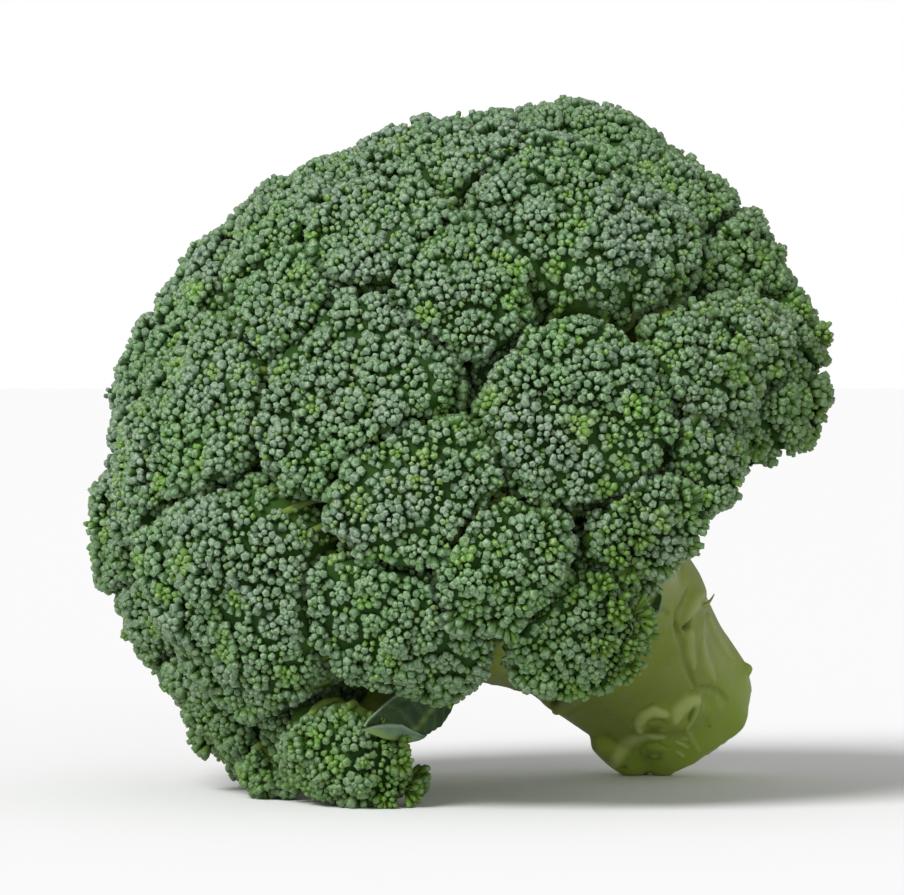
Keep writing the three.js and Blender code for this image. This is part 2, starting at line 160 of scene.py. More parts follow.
# The trunk's marks: each a line of points, as turn in degrees and height in millimetres, with its
# half width and rise in millimetres, and how much it is darker or, below nought, paler. The
# darkening of the grooves, moats, edges, slots, dents and pits is painted shade in those hollows,
# and the paleness of the ridges is a painted highlight.
TRUNK_RADIUS = 0.021
TRUNK_TOP = 0.066
TRUNK_FADE = 0.012  # how far below the top the marks fade out
TRUNK_WIDEST = 0.036
MARK_INSIDE = 0.014  # how far from the trunk's middle they are half faded
MARK_END = 0.45  # how narrow a mark's ends are, as a share of its middle
MARK_TAPER = 0.6  # and the power by which it narrows
MARK_CRISP = 3  # how flat the marks' tops and how sharp their edges are
MARKS = {
    "groove": ([(79.5, 48.7), (76.7, 45), (72.5, 38), (70.6, 34), (68.1, 26)], 0.9, -0.5, 0.2),
    "second groove": ([(70.5, 65), (72.6, 59.7), (77, 55.5), (79.2, 52.9)], 0.8, -0.4, 0.2),
    "scale": ([(106, 43.5), (97, 45.8), (91, 46.4), (85.5, 46.4)], 2.0, 1.1, -0.3),
    "scale groove": ([(101, 49.5), (92, 50.3), (84, 50.6), (79.8, 48.5), (77.8, 45)],
                     0.6, -0.4, 0.3),
    "scale slot": ([(81.7, 45.3), (84.2, 44), (87.1, 44.2)], 0.7, -1.2, 1.0),
    "first ridge": ([(83.8, 43), (77.4, 38.5), (74.1, 31.5)], 1.4, 0.4, -0.4),
    "second ridge": ([(88.6, 35.3), (83.8, 28.3), (82.5, 20.8)], 1.4, 0.4, -0.4),
    "third ridge": ([(104, 36), (106, 26), (108, 16)], 1.8, 0.7, -0.2),
    "arc": ([(62.5, 25.7), (70, 24), (76, 20.5), (80.7, 16.5), (82.1, 11.9)], 0.8, -0.5, 0.2),
    "arc swell": ([(66, 15), (71, 13)], 4.5, 0.7, -0.05),
    "dent": ([(59.5, 10.8)], 0.6, -0.5, 0.5),
    "first collar": ([(21, 24), (23.6, 27), (30.5, 29.4), (38, 29.1), (42, 26)], 1.7, 0.45, -1.0),
    "first edge": ([(18.5, 24.5), (21.5, 28.6), (30.5, 31.6), (39.5, 31.2), (44, 27.5)],
                   0.5, -0.25, 0.4),
    "first moat": ([(23, 22.5), (25, 26), (31.2, 27.1), (37.5, 26), (39.5, 23)], 0.45, -0.25, 0.3),
    "first disk": ([(29.5, 23.6), (33.5, 23.8)], 2.7, 0.45, 0.55),
    "petal": ([(64, 22.3), (57, 24), (50, 24.2), (44.5, 22.3)], 2.2, 0.5, -1.0),
    "petal fold": ([(64.6, 21.6), (58.9, 20.4), (50.3, 18), (47.2, 17.6)], 0.6, 0.4, -0.6),
    "petal slot": ([(58.9, 22.4), (50.9, 19.4)], 0.6, -0.3, 0.7),
    "petal stem": ([(47.2, 18.2), (44, 11.5), (42, 5.5)], 0.7, 0.3, -0.4),
    "second collar": ([(-11, 12.8), (-5, 16), (5, 19.4), (14, 20.9), (23, 21.4), (29.5, 18)],
                      1.7, 0.45, -1.0),
    "second moat": ([(7, 13), (9.8, 16.3), (17.5, 18.2), (24.6, 17), (28, 13)], 0.45, -0.25, 0.3),
    "second disk": ([(14, 13), (21, 13.3)], 3.1, 0.35, 0.5),
    "second eye": ([(16.8, 13.3)], 0.8, 0.5, -0.6),
    "pit": ([(-7.3, 11.4)], 0.8, -0.9, 0.7),
    "first flake": ([(34.1, 13.6), (35.9, 11.8), (37.4, 9.4)], 0.5, 0.4, -1.0),
    "second flake": ([(29.3, 10.4), (30.6, 8.8), (30.5, 7)], 0.45, 0.4, -1.0),
    "third flake": ([(37.5, 13.5), (42, 12)], 0.4, 0.3, -0.8),
    "slot": ([(-10.2, 43.7), (3.2, 48.5), (15.4, 54.3)], 0.9, -2.0, 1.0),
    "slot lip": ([(-12, 40.5), (2, 44.5), (14, 49.5)], 1.3, 0.5, -0.25),
    "slot brow": ([(-8, 48), (4, 52.5), (13, 57)], 2.0, 0.6, -0.15),
    "corner": ([(117.5, 7.5)], 1.4, 1.5, -0.25),
    "underside swell": ([(-14, 4), (-16, 12), (-14, 20)], 6.0, 3.6, 0.0),
    "arch swell": ([(-14, 24), (-14, 44)], 5.0, 1.2, 0.0),
    "neck swell": ([(117, 40), (117, 54)], 6.0, 0.9, 0.0),
    "left ridge": ([(-35, 6), (-38, 20), (-30, 44)], 2.0, 0.6, -0.1),
    "back ridge": ([(-92, 6), (-88, 24), (-96, 46)], 2.0, 0.8, -0.2),
    "back groove": ([(-76, 8), (-73, 26), (-80, 48)], 1.4, -0.6, 0.2),
    "far ridge": ([(-152, 4), (-158, 22), (-150, 44)], 1.8, 0.7, -0.2),
    "far groove": ([(-140, 6), (-144, 24), (-138, 40)], 1.3, -0.6, 0.2),
    "side groove": ([(140, 5), (146, 24), (140, 46)], 1.5, -0.6, 0.2),
    "side ridge": ([(154, 4), (160, 26), (152, 48)], 1.9, 0.7, -0.2),
}
RIM_WAVES = ((5, 0.5, 0.4), (9, 0.35, 1.7), (14, 0.2, 0.3))  # waves round, rise and start
RIM_DEPTH = 0.011  # how far up the trunk the cut rim's waves reach
RIM_FADE = 1.5  # and the power by which they fade
CUT_TURN = radians(82)  # the side where the cut end bulges
CUT_SPREAD = radians(32)
CUT_BULGE = 0.003
CUT_REACH = 0.012  # and how far up the trunk that reaches
CUT_RADIUS = 0.018
CUT_LEVEL = 0.0012  # the cut face lies lower than this
CUT_FACING = -0.75  # and its normals' cosine from the stalk's axis is less than this
PITH_RADIUS = 0.0178
PITH_LEAST = 0.1  # what marks the cut face at its very middle
LIME_HEIGHT = 0.03  # how far up the trunk the skin is limier
STALK_GRAIN = 0.0018  # the size of the stalk's faces
STALK_SOFTNESS = 10  # rounds of smoothing
MARKED_TURNS = (radians(-30), radians(125))  # where its faces are finer, for the marks
MARKED_HEIGHT = 0.06
MARKED_RADII = (0.014, 0.034)
MARKED_CUTS = 2

# The sprout on the trunk's side: its root, its radius, and how far it bends out and up
SPROUT_TURN = radians(107)
SPROUT_DISTANCE = 0.0246  # from the trunk's middle to its root
SPROUT_HEIGHT = 0.0385
SPROUT_RADIUS = 0.0009
SPROUT_TAPER = 0.85
SPROUT_STEPS = 9
SPROUT_SUNK = 0.001
SPROUT_OUT = 0.0036
SPROUT_FORWARD = 0.0006
SPROUT_UP = 0.0034
SPROUT_DIP = 0.0004
SPROUT_HOOK = 2.2  # the power by which it curves up
SPROUT_TINT = (0.5, 0, 0.3, 0)

# The small leaves: base and tip in the upright head's millimetres, the way that their lower edge
# faces, and along each, as shares of its length, its lower and upper half widths and the width
# of the flap that is turned up along its lower edge
LEAVES = {
    "leaf": {
        "base": (49.2, 6.8, 90.3),
        "tip": (88.4, 17, 128.2),
        "edge": (0, 0, -1),
        "lower": ((0, 0.8), (0.1, 3.8), (0.18, 6.5), (0.27, 8.5), (0.45, 9), (0.6, 7.9), (0.8, 4.7),
                  (0.93, 1.7), (1, 0.3)),
        "upper": ((0, 0.8), (0.1, 2), (0.3, 4), (0.7, 3.5), (0.85, 2.2), (0.96, 1.4), (1, 0.3)),
        "flap": ((0.42, 0), (0.5, 0.8), (0.6, 2.4), (0.7, 3.4), (0.8, 3.1), (0.9, 1.7), (1, 0)),
        "rib": 1.5,
        "teeth": 19,
    },
    "bract": {
        "base": (15.4, 25, 64.5),
        "tip": (7.2, 31.8, 65.6),
        "edge": (-0.6, 0.3, 0.7),
        "lower": ((0, 0.8), (0.3, 2.8), (0.65, 3.6), (0.85, 2.6), (1, 0.6)),
        "upper": ((0, 0.8), (0.3, 2.6), (0.7, 3.2), (0.9, 1.8), (1, 0.6)),
        "flap": ((0, 0), (1, 0)),
        "rib": 0.2,
        "teeth": 7,
    },
}
LEAF_THICKNESS = 0.5
LEAF_BEND = 0.4  # the radius of the fold
LEAF_CUP = 1.2  # how much the blade's middle lies behind its edges
LEAF_COLUMNS = 17
BEND_COLUMNS = 5
FLAP_COLUMNS = 7
LEAF_STEPS = 90
LEAF_LEAST = 0.3  # its least half width
LEAF_NARROW = 4  # it cups less where it is narrower than this
LEAF_WAVE = 0.5  # how far its upper half waves in and out
LEAF_WAVES = 8
FLAP_CURL = 0.25
FLAP_ACROSS = 0.4  # how far across the blade the flap reaches
LEAF_RIB = 0.55  # the width of the rib
RIB_GROOVE = 0.2
LEAF_VEINS = 9
VEIN_SLANT = 1.3
VEIN_WIDTH = 0.1
VEIN_STRENGTH = 0.5
VEIN_PALENESS = 0.6
VEIN_GROOVE = 0.12
TOOTH_DEPTH = 0.5
TOOTH_SLANT = 0.3

CAMERA_REACH = 1.5  # far off, so that the view is nearly parallel
CAMERA_RISE = radians(1)
CAMERA_AIM = Vector((-0.0585, -0.0636, 0.068))  # from the cut end
FRAME_WIDTH = 0.217  # how much of the head's plane the image spans
IMAGE_SENSOR = 36  # millimetres, as the lens is

FLOOR_HALF = 12.0
FLOOR_WHITE = 0.93
ROOM_LIGHT = 0.42
LIGHTS = {  # the way that each comes from, how wide it is and how strong
    "key": ((-0.7, -0.85, 1.0), radians(26), 2.8),
    "fill": ((0.3, -1, 0.2), radians(40), 0.55),
}

chance = np.random.default_rng(7)


# The head's place

def turned(name):
    """The corners and triangles of a CAD node."""
    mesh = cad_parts[name].data
    points = np.empty(len(mesh.vertices) * 3)
    mesh.vertices.foreach_get("co", points)
    mesh.calc_loop_triangles()
    corners = np.empty(len(mesh.loop_triangles) * 3, int)
    mesh.loop_triangles.foreach_get("vertices", corners)
    return points.reshape(-1, 3), corners.reshape(-1, 3)


def place_head():
    """The turn from the upright head to the lying one, and the middle of its cut end."""
    turn = Matrix.Rotation(STALK_HEADING, 3, "Z") @ Matrix.Rotation(STALK_LEAN, 3, "Y")
    turn = np.array(turn)
    upright = turned("stalk")[0] @ turn
    level = upright[:, 2].min()
    face = upright[upright[:, 2] < level + FACE_DEPTH]
    aside = (face[:, 1].min() + face[:, 1].max()) / 2
    below = (FLOOR_DEPTH - turn[2, 1] * aside - turn[2, 2] * level) / turn[2, 0]
    return turn, turn @ np.array([below, aside, level])


HEAD_TURN, CUT_END = place_head()
FLORETS = sorted(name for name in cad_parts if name.startswith("floret"))


def to_upright(points):
    return (points - CUT_END) @ HEAD_TURN


def to_lying(points):
    return np.asarray(points) @ HEAD_TURN.T + CUT_END


CROWN_BED = to_lying([0, 0, CROWN_HEIGHT])


# Shapes

def unit(ways):
    """The same directions, each one long."""
    return ways / np.linalg.norm(ways, axis=-1, keepdims=True)


def ball(detail):
    """Even directions round a ball, and the triangles that join them."""
    made = bmesh.new()
    bmesh.ops.create_icosphere(made, subdivisions=detail, radius=1)
    directions = np.array([vert.co for vert in made.verts])
    triangles = np.array([[vert.index for vert in face.verts] for face in made.faces])
    made.free()
    return unit(directions), triangles


def edges_of(triangles):
    return np.concatenate([triangles[:, [0, 1]], triangles[:, [1, 2]], triangles[:, [2, 0]]])


def smoothed(values, triangles, times):
    """Values at a mesh's corners, each drawn halfway to the mean of its neighbours."""
    pairs = edges_of(triangles)
    count = np.bincount(pairs[:, 0], minlength=len(values))
    for _ in range(times):
        total = np.bincount(pairs[:, 0], values[pairs[:, 1]], minlength=len(values))
        values = (values + total / count) / 2
    return values


def normals_of(points, triangles):
    a, b, c = (points[triangles[:, i]] for i in range(3))
    face = np.cross(b - a, c - a)
    normals = np.zeros_like(points)
    for i in range(3):
        np.add.at(normals, triangles[:, i], face)
    return unit(normals)


def tree_of(points, triangles):
    return BVHTree.FromPolygons(points.tolist(), triangles.tolist())


def finder_of(points):
    finder = KDTree(len(points))
    for i, point in enumerate(points):
        finder.insert(point, i)
    finder.balance()
    return finder


def side_ways(normals):
    """Two directions across each normal."""
    helper = np.where(np.abs(normals[:, 2:]) < 0.9, [[0, 0, 1.0]], [[1.0, 0, 0]])
    first = unit(np.cross(helper, normals))
    return first, np.cross(normals, first)


def ring_faces(sides, rings):
    """The quads that join rings of points, one after the other."""
    quads = []
    for level in range(rings - 1):
        low, high = level * sides, (level + 1) * sides
        for side in range(sides):
            after = (side + 1) % sides
            quads.append([low + side, low + after, high + after, high + side])
    return np.array(quads)


def tube_rings(route, radii):
    """Rings of points round a route, square to it."""
    first, second = side_ways(unit(np.gradient(route, axis=0)))
    turns = np.arange(RIB_SIDES) * 2 * pi / RIB_SIDES
    rings = route[:, None] + radii[:, None, None] * (
        first[:, None] * np.cos(turns)[:, None] + second[:, None] * np.sin(turns)[:, None]
    )
    return rings.reshape(-1, 3)


def make_piece(name, parts, materials, material_of=None):
    """A smooth mesh object whose tint is a colour attribute that its materials read."""
    points, faces, tints, start = [], [], [], 0
    for part_points, part_faces, part_tints in parts:
        points.append(part_points)
        tints.append(part_tints)
        for group in part_faces:
            faces.extend((np.asarray(group) + start).tolist())
        start += len(part_points)
    points = np.concatenate(points)
    points[:, 2] = np.maximum(points[:, 2], FLOOR_GAP)
    mesh = bpy.data.meshes.new(name)
    mesh.from_pydata(points.tolist(), [], faces)
    mesh.shade_smooth()
    layer = mesh.color_attributes.new("tint", "FLOAT_COLOR", "POINT")
    layer.data.foreach_set("color", np.concatenate(tints).astype(np.float32).ravel())
    for material in materials:
        mesh.materials.append(material)
    if material_of is not None:
        mesh.polygons.foreach_set("material_index", material_of)
    piece = bpy.data.objects.new(name, mesh)
    bpy.context.scene.collection.objects.link(piece)
    return piece


def stand_for(piece, node):
    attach(piece, "root")
    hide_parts(node)


# The florets' forms

FINE, FINE_TRIANGLES = ball(5)
COARSE, COARSE_TRIANGLES = ball(4)


def cast(tree, start, way):
    """How far a solid's surface is from a point in it."""
    far = tree.ray_cast(Vector(start), Vector(way))[3]
    return LEAST_REACH if far is None else far


def knobs(points, triangles, middle):
    """The corners of a solid that stand out from those round them."""
    reach = np.linalg.norm(points - middle, axis=1)
    pairs = edges_of(triangles)
    count = np.maximum(np.bincount(pairs[:, 0], minlength=len(points)), 1)
    mean = np.bincount(pairs[:, 0], reach[pairs[:, 1]], minlength=len(points)) / count
    return points[reach - mean > KNOB_RISE]


def lean_from(form, points):
    """The angle of points about a floret's middle, away from the way it faces."""
    ways = unit(points - form["middle"])
    return np.arccos(np.clip(ways @ form["facing"], -1, 1))


def floret_form(name, solid):
    """A floret's smooth form, from its faceted solid."""
    points, triangles = solid
    middle = points.mean(0)
    tree = tree_of(points, triangles)
    reach = np.array([cast(tree, middle, way) for way in FINE])
    reach = smoothed(reach, FINE_TRIANGLES, FORM_SOFTNESS)
    facing = middle - CROWN_BED
    facing /= np.linalg.norm(facing)
    return {
        "name": name,
        "middle": middle,
        "facing": facing,
        "knobs": knobs(points, triangles, middle),
        "surface": middle + FINE * reach[:, None],
    }


def merged(solids):
    """The corners and triangles of several solids in one."""
    points, triangles, start = [], [], 0
    for own, faces in solids:
        points.append(own)
        triangles.append(faces + start)
        start += len(own)
    return np.concatenate(points), np.concatenate(triangles)


def crown_skin(forms):
    """A skin stretched over the crown's creases: its reach from the bed in each direction, or
    nought where there is no crown."""
    tree = tree_of(*merged([(form["surface"], FINE_TRIANGLES) for form in forms]))
    ways, triangles = ball(6)
    outside = CROWN_BED + CROWN_REACH * ways
    far = [tree.ray_cast(Vector(p), Vector(-way), CROWN_REACH)[3] for p, way in zip(outside, ways)]
    reach = np.array([0 if depth is None else CROWN_REACH - depth for depth in far])
    inside = smoothed((reach > CROWN_LEAST).astype(float), triangles, HOLE_ROUNDS) > 0.5
    share = np.maximum(smoothed(inside, triangles, 1), 0.01)
    skin = reach * inside
    for _ in range(SKIN_ROUNDS):
        skin = np.maximum(reach, smoothed(skin, triangles, 1) / share) * inside
    return finder_of(ways), skin


def clear_finder():
    """What finds the nearest point of the leaf, the bract or the trunk."""
    stalk = turned("stalk")[0]
    trunk = stalk[to_upright(stalk)[:, 2] < TRUNK_TOP]
    return finder_of(np.concatenate([turned("leaf")[0], turned("bract")[0], trunk]))


CLEAR_FINDER = clear_finder()


def freedom(points):
    """How freely florets rise and swell at these points: not at all next to a leaf or the trunk."""
    far = np.array([CLEAR_FINDER.find(point)[2] for point in points])
    return np.clip((far - CLEAR_FADE[0]) / (CLEAR_FADE[1] - CLEAR_FADE[0]), 0, 1)


def raise_form(form, finder, skin):
    """Raise a floret towards the skin, save on its underside and near the floor, leaves and trunk."""
    outward = form["surface"] - CROWN_BED
    reach = np.linalg.norm(outward, axis=1)
    outward /= reach[:, None]
    over = np.array([np.mean([skin[hit[1]] for hit in finder.find_n(way, 3)]) for way in outward])
    depth = np.maximum(over - reach, 0)
    lift = CREASE_LIFT * (1 - np.exp(-CREASE_FILL * depth / CREASE_LIFT))
    for waves, rise in CROWN_WAVES:
        lift += rise * np.array([noise.noise(Vector(way * waves)) for way in outward])
    lift *= np.clip((LIFT_END - lean_from(form, form["surface"])) / LIFT_FADE, 0, 1)
    lift *= np.clip(form["surface"][:, 2] / FLOOR_FADE, 0, 1) * freedom(form["surface"])
    form["surface"] = form["surface"] + outward * lift[:, None]


def swollen(form, crowd):
    """A floret's surface, with its sides pushed out towards the florets that face it."""
    surface = form["surface"]
    normals = normals_of(surface, FINE_TRIANGLES)
    push = np.zeros(len(surface))
    for i, (point, normal) in enumerate(zip(surface, normals)):
        gap, owner = room(crowd, form, point, normal, SWELL_REACH)
        if owner.startswith("floret"):
            push[i] = gap * SWELL_SHARE
    push = smoothed(push * freedom(surface), FINE_TRIANGLES, SWELL_ROUNDS)
    return surface + normals * push[:, None]


def crowd_of(forms, others):
    """One tree of all the florets' forms and some other nodes, and what each triangle is of."""
    shapes = {form["name"]: (form["surface"], FINE_TRIANGLES) for form in forms}
    shapes |= {name: turned(name) for name in others}
    owners = np.repeat(list(shapes), [len(faces) for _, faces in shapes.values()])
    return {"tree": tree_of(*merged(shapes.values())), "owners": owners}


def make_crown():
    """All the florets' forms, and one tree of them with everything else that stands near."""
    forms = [floret_form(name, turned(name)) for name in FLORETS]
    finder, skin = crown_skin(forms)
    for form in forms:
        raise_form(form, finder, skin)
    others = ("stalk", "leaf", "bract")
    crowd = crowd_of(forms, others)
    for form, surface in zip(forms, [swollen(form, crowd) for form in forms]):
        form["surface"] = surface
        form["tree"] = tree_of(surface, FINE_TRIANGLES)
    return forms, crowd_of(forms, others)


def room(crowd, form, point, normal, reach):
    """How far the nearest other thing is, straight out from a point of a floret, or nought where
    the point lies within it, and what that thing is."""
    step, gone = Vector(normal), RAY_NUDGE
    start = Vector(point) + step * gone
    while gone < reach:
        place, out, index, far = crowd["tree"].ray_cast(start, step, reach - gone)
        if place is None:
            break
        gone += far + RAY_NUDGE
        owner = crowd["owners"][index]
        if owner != form["name"]:
            return (gone if step.dot(out) < 0 else 0), owner
        start = place + step * RAY_NUDGE
    return reach, ""


# The buds

def umbel_pattern():
    """Each bud of one umbel: its distance from the middle, its turn and its width."""
    golden = pi * (3 - sqrt(5))
    rows, area, distance = [], 0, 0
    while distance < UMBEL_REACH:
        share = min(1, distance / UMBEL_EDGE)
        width = BUD_SMALL + (BUD_LARGE - BUD_SMALL) * share**BUD_GROWTH
        rows.append((distance, len(rows) * golden, width))
        area += BUD_AREA * width**2
        distance = sqrt(area / pi)
    return np.array(rows)


PATTERN = umbel_pattern()


def umbel_middles(form, open_spots):
    """Where a floret's umbels stand: on its solid's knobs, and wherever else there is room."""
    surface = form["surface"]
    spots = surface[open_spots]
    order = chance.permutation(len(spots))
    wanted = [*form["knobs"], *(spots[i] for i in order)]
    spacing = chance.uniform(*UMBEL_SPACING, len(wanted))
    finder = finder_of(surface)
    chosen = []
    for point, apart in zip(wanted, spacing):
        index = finder.find(point)[1]
        near = surface[chosen] - surface[index]
        if loose_reach(form, surface[index]) > 0:
            apart *= LOOSE_SPACING
        if open_spots[index] and (not chosen or np.linalg.norm(near, axis=1).min() > apart):
            chosen.append(index)
    return chosen


def cell_of(point):
    return tuple((np.asarray(point) // BUD_LARGE).astype(int))


def is_free(taken, tip, width):
    """Whether a bud has its own space among those already there."""
    a, b, c = cell_of(tip)
    for i in (a - 1, a, a + 1):
        for j in (b - 1, b, b + 1):
            for k in (c - 1, c, c + 1):
                for x, y, z, other in taken.get((i, j, k), ()):
                    apart = (x - tip[0]) ** 2 + (y - tip[1]) ** 2 + (z - tip[2]) ** 2
                    if apart < (BUD_CROWDING * (width + other) / 2) ** 2:
                        return False
    return True


def rim_share(form, place, lean):
    """How green and long-stemmed a bud is: nought on top and one at the rims."""
    own = (lean - RIM_ANGLE) / (DOME_ANGLE - RIM_ANGLE)
    way = Vector(place - CROWN_BED).normalized()
    around = way.angle(Vector(HEAD_TURN[:, 2]))
    share = (around - CROWN_RIM[0]) / (CROWN_RIM[1] - CROWN_RIM[0])
    return max(own, CROWN_GREEN * min(1, share))


def loose_reach(form, point):
    """How far an umbel at this point of a floret stands free."""
    if form["name"] not in LOOSE_SIDES:
        return 0
    side, spread, reach = LOOSE_SIDES[form["name"]]
    facing = Vector(side).normalized().dot(Vector(point - form["middle"]).normalized())
    return reach * max(0, min(1, (facing - spread) / (1 - spread) * LOOSE_STEEP))


def umbel_nature(free):
    """One umbel's size, turn and dome, how much of it is unripe, and how high it stands."""
    size = chance.uniform(*UMBEL_SIZES)
    spin = chance.uniform(0, 2 * pi)
    if chance.uniform() < YOUNG_UMBELS:
        dome = -UMBEL_DIMPLE * chance.uniform(*DIMPLE_SHARES)
        unripe = chance.uniform(*YOUNG_CENTRES)
    else:
        dome = UMBEL_DOME * chance.uniform(*DOME_SHARES)
        unripe = chance.uniform(*RIPE_CENTRES)
    rise = chance.normal(0, UMBEL_UNEVEN)
    if free > 0:
        unripe = chance.uniform(*LOOSE_CENTRES)
    rise += free * chance.uniform(*LOOSE_RISES)
    return size, spin, dome, unripe, rise


def grow_umbel(form, crowd, finder, taken, number, middle, normal):
    """The buds of one umbel. Each is its tip, its root, its width, ripeness, rim and freedom."""
    first, second = (way[0] for way in side_ways(normal[None]))
    free = loose_reach(form, middle)
    size, spin, dome, unripe, rise = umbel_nature(free)
    meet = middle - normal * (UMBEL_ROOT if free == 0 else LOOSE_ROOT)
    converge = STEMS_MEET if free == 0 else LOOSE_MEET
    centre = Vector(form["middle"])
    buds = []
    for distance, turn, width in PATTERN:
        across = distance * size
        angle = turn + spin
        spot = middle + across * (cos(angle) * first + sin(angle) * second)
        spot = Vector(spot + chance.normal(0, BUD_STRAY, 3))
        way = (spot - centre).normalized()
        place, out, _, _ = form["tree"].ray_cast(centre, way)
        if place is None or finder.find(place)[1] != number:
            continue
        lean = float(lean_from(form, np.array(place)))
        if lean > DOME_ANGLE + chance.normal(0, EDGE_STRAY):
            continue
        clear = room(crowd, form, place, out, ROOM_REACH)[0]
        if clear < BUD_ROOM:
            continue
        share = min(1, across / UMBEL_EDGE)
        if free > 0 and (across > LOOSE_EDGE or chance.uniform() > LOOSE_SHARE):
            continue
        lift = dome * (1 - share**2) + rise + chance.normal(0, BUD_UNEVEN) - BUD_SINK
        lift = min(lift, (clear - BUD_ROOM) / 2)
        tip = np.array(place + out * lift)
        width *= size * chance.uniform(*BUD_SIZES) * (LOOSE_SIZE if free > 0 else 1)
        if not is_free(taken, tip, width):
            continue
        taken.setdefault(cell_of(tip), []).append((*tip, width))
        root = converge * meet + (1 - converge) * np.array(place - out * UMBEL_ROOT)
        root += chance.normal(0, ROOT_STRAY, 3)
        ripe = (share - unripe) / RIPENING + chance.normal(0, RIPE_STRAY)
        rim = max(rim_share(form, tip, lean), free / LOOSE_GREEN)
        buds.append((*tip, *root, width, ripe, rim, free))
    return buds


def fill_gaps(form, normals, taken, spots):
    """Lower buds in the gaps that the umbels leave."""
    buds = []
    for index in spots:
        place, out = form["surface"][index], normals[index]
        width = FILL_WIDTH * chance.uniform(*FILL_SIZES)
        sunk = BUD_SINK + chance.uniform(*FILL_SINK) + FILL_LOOSE * loose_reach(form, place)
        tip = place - out * sunk
        if is_free(taken, tip, width):
            taken.setdefault(cell_of(tip), []).append((*tip, width))
            root = place - out * UMBEL_ROOT
            rim = rim_share(form, tip, float(lean_from(form, place)))
            buds.append((*tip, *root, width, chance.uniform(*FILL_RIPE), rim, 0))
    return buds


def bud_shapes(buds, sides, necks):
    """The closed flower buds on their stems. A ripe one has a squared rim round a sunken tip."""
    tips, roots, widths = buds[:, :3], buds[:, 3:6], buds[:, 6]
    ripe, rim = np.clip(buds[:, 7], 0, 1), np.clip(buds[:, 8], 0, 1)
    lengths = np.linalg.norm(tips - roots, axis=1)
    axes = (tips - roots) / lengths[:, None]
    first, second = side_ways(axes)
    spin = chance.uniform(0, 2 * pi, len(buds))
    turns = spin[:, None] + np.arange(sides) * 2 * pi / sides
    ring = first[:, None] * np.cos(turns)[..., None] + second[:, None] * np.sin(turns)[..., None]
    levels = (NECK_RING, *BUD_RINGS) if necks else BUD_RINGS
    odd = chance.uniform(*BUD_ODD, (len(buds), sides))
    rings = []
    for depth, radius, most, _ in levels:
        depths = np.minimum(depth * widths, most * lengths)
        radii = (radius * widths)[:, None] * odd
        rings.append((tips - axes * depths[:, None])[:, None] + ring * radii[..., None])
    sunk = (TIP_DIMPLE * ripe - TIP_POINT) * widths
    ends = [(tips - axes * sunk[:, None])[:, None], roots[:, None]]
    points = np.concatenate([*rings, *ends], axis=1)
    top = len(levels) * sides
    tints = np.empty((len(buds), top + 2, 4))
    heights = np.repeat([level[-1] for level in levels], sides)
    tints[..., 0] = [*heights, TIP_HEIGHT, 0]
    tints[..., 1] = ripe[:, None]
    tints[..., 2] = chance.uniform(0, 1, len(buds))[:, None]
    tints[..., 3] = rim[:, None]
    fans = []
    for side in range(sides):
        after = (side + 1) % sides
        fans.append([top - sides + side, top - sides + after, top])
        fans.append([after, side, top + 1])
    starts = np.arange(len(buds))[:, None, None] * (top + 2)
    faces = [
        (starts + ring_faces(sides, len(levels))).reshape(-1, 4),
        (starts + np.array(fans)).reshape(-1, 3),
    ]
    return points.reshape(-1, 3), faces, tints.reshape(-1, 4)


def core_shape(form, normals, open_share):
    """The mass of stems that the buds stand on."""
    rays = [form["tree"].ray_cast(Vector(form["middle"]), Vector(way)) for way in COARSE]
    places = np.array([hit[0] for hit in rays])
    lean = lean_from(form, places)
    finder = finder_of(form["surface"])
    nearest = np.array([finder.find(place)[1] for place in places])
    shown = open_share[nearest]
    under = np.clip((lean - DOME_ANGLE) / UNDER_FADE, 0, 1)
    sink = CORE_GAP + (CORE_SINK * (1 - UNDER_RISE * under) - CORE_GAP) * shown
    sink += np.array([min(loose_reach(form, place), CORE_LOOSE) for place in places])
    points = places - normals[nearest] * sink[:, None]
    rim = np.clip((lean - RIM_ANGLE) / (DOME_ANGLE - RIM_ANGLE), 0, 1)
    tints = np.stack([under, rim, np.zeros(len(points)), np.ones(len(points))], axis=1)
    return points, [COARSE_TRIANGLES], tints


def rib_shapes(form, middles):
    """The umbels' stems that show along a floret's underside, from its own stem to its rim."""
    down = Vector(-form["facing"])
    centre = Vector(form["middle"])
    points, faces = [], []
    start, length = RIB_SPAN
    sink, deeper = RIB_SINK
    radii = np.linspace(RIB_ROOT, RIB_TIP, RIB_STEPS + 1)
    quads = ring_faces(RIB_SIDES, RIB_STEPS + 1)
    for middle in middles:
        way = (Vector(middle) - centre).normalized()
        if way.angle(-down) < RIB_LEAN:
            continue
        route = []
        for step in range(RIB_STEPS + 1):
            share = start + length * step / RIB_STEPS
            bend = down.slerp(way, share) if down.angle(way) < NEARLY_OPPOSITE else way
            place, out, _, _ = form["tree"].ray_cast(centre, bend)
            route.append(np.array(place - out * (sink + deeper * share**3)))
        faces.append(quads + len(points) * RIB_SIDES * (RIB_STEPS + 1))
        points.append(tube_rings(np.array(route), radii))
    if not points:
        return None
    points = np.concatenate(points)
    return points, [np.concatenate(faces)], np.ones((len(points), 4))


